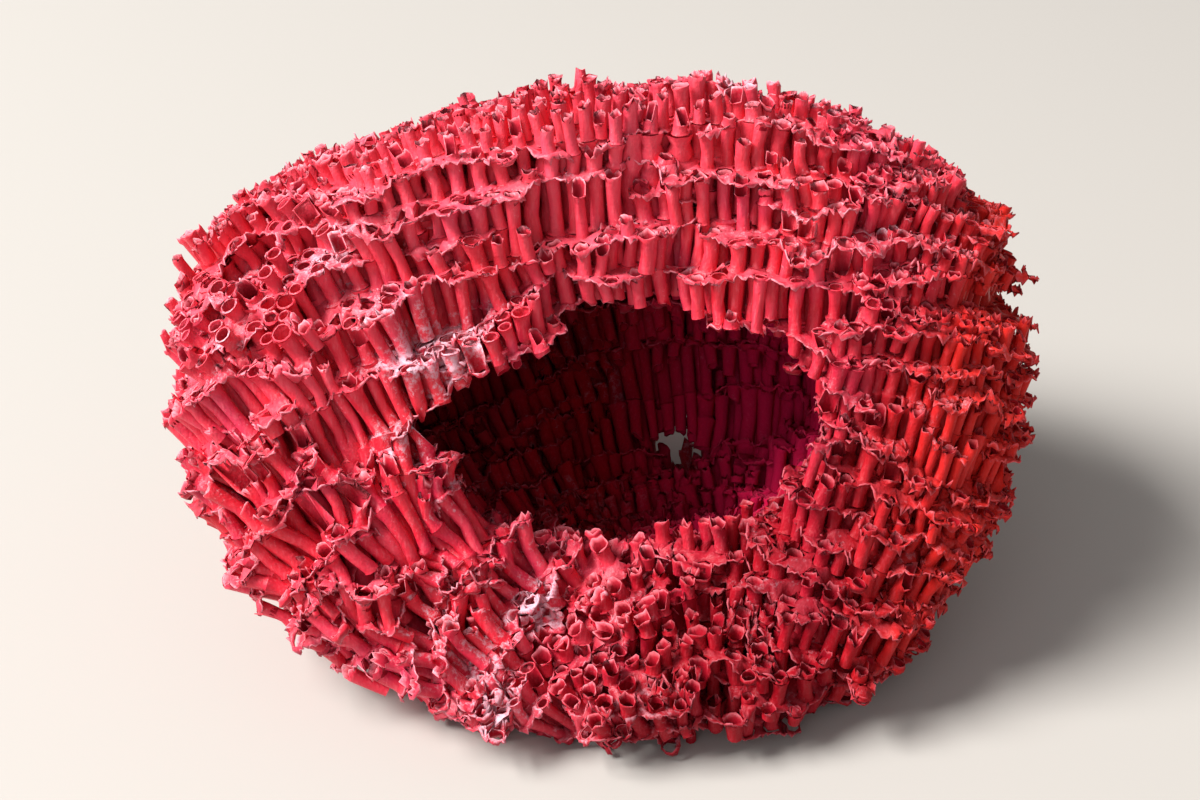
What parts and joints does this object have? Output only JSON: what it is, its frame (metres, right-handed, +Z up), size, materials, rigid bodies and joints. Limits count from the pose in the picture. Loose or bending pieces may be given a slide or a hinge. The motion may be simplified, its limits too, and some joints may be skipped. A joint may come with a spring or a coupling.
{
  "type": "organ pipe coral",
  "caption": "Dead skeleton of an organ pipe coral colony: fanning red pipes tied by thin floors, with a cave in the front, cut flat to stand on.",
  "frame": {"origin": "on the flat cut face that the colony rests on", "axes": "+X along the colony's longest side, +Y from the cave's mouth to the back, +Z up, square to the cut face"},
  "size_m": [0.1433, 0.1047, 0.0926],
  "materials": {
    "coral_skeleton": "matte"
  },
  "bodies": {
    "root": {"coral_colony": "coral_skeleton"}
  },
  "joints": []
}
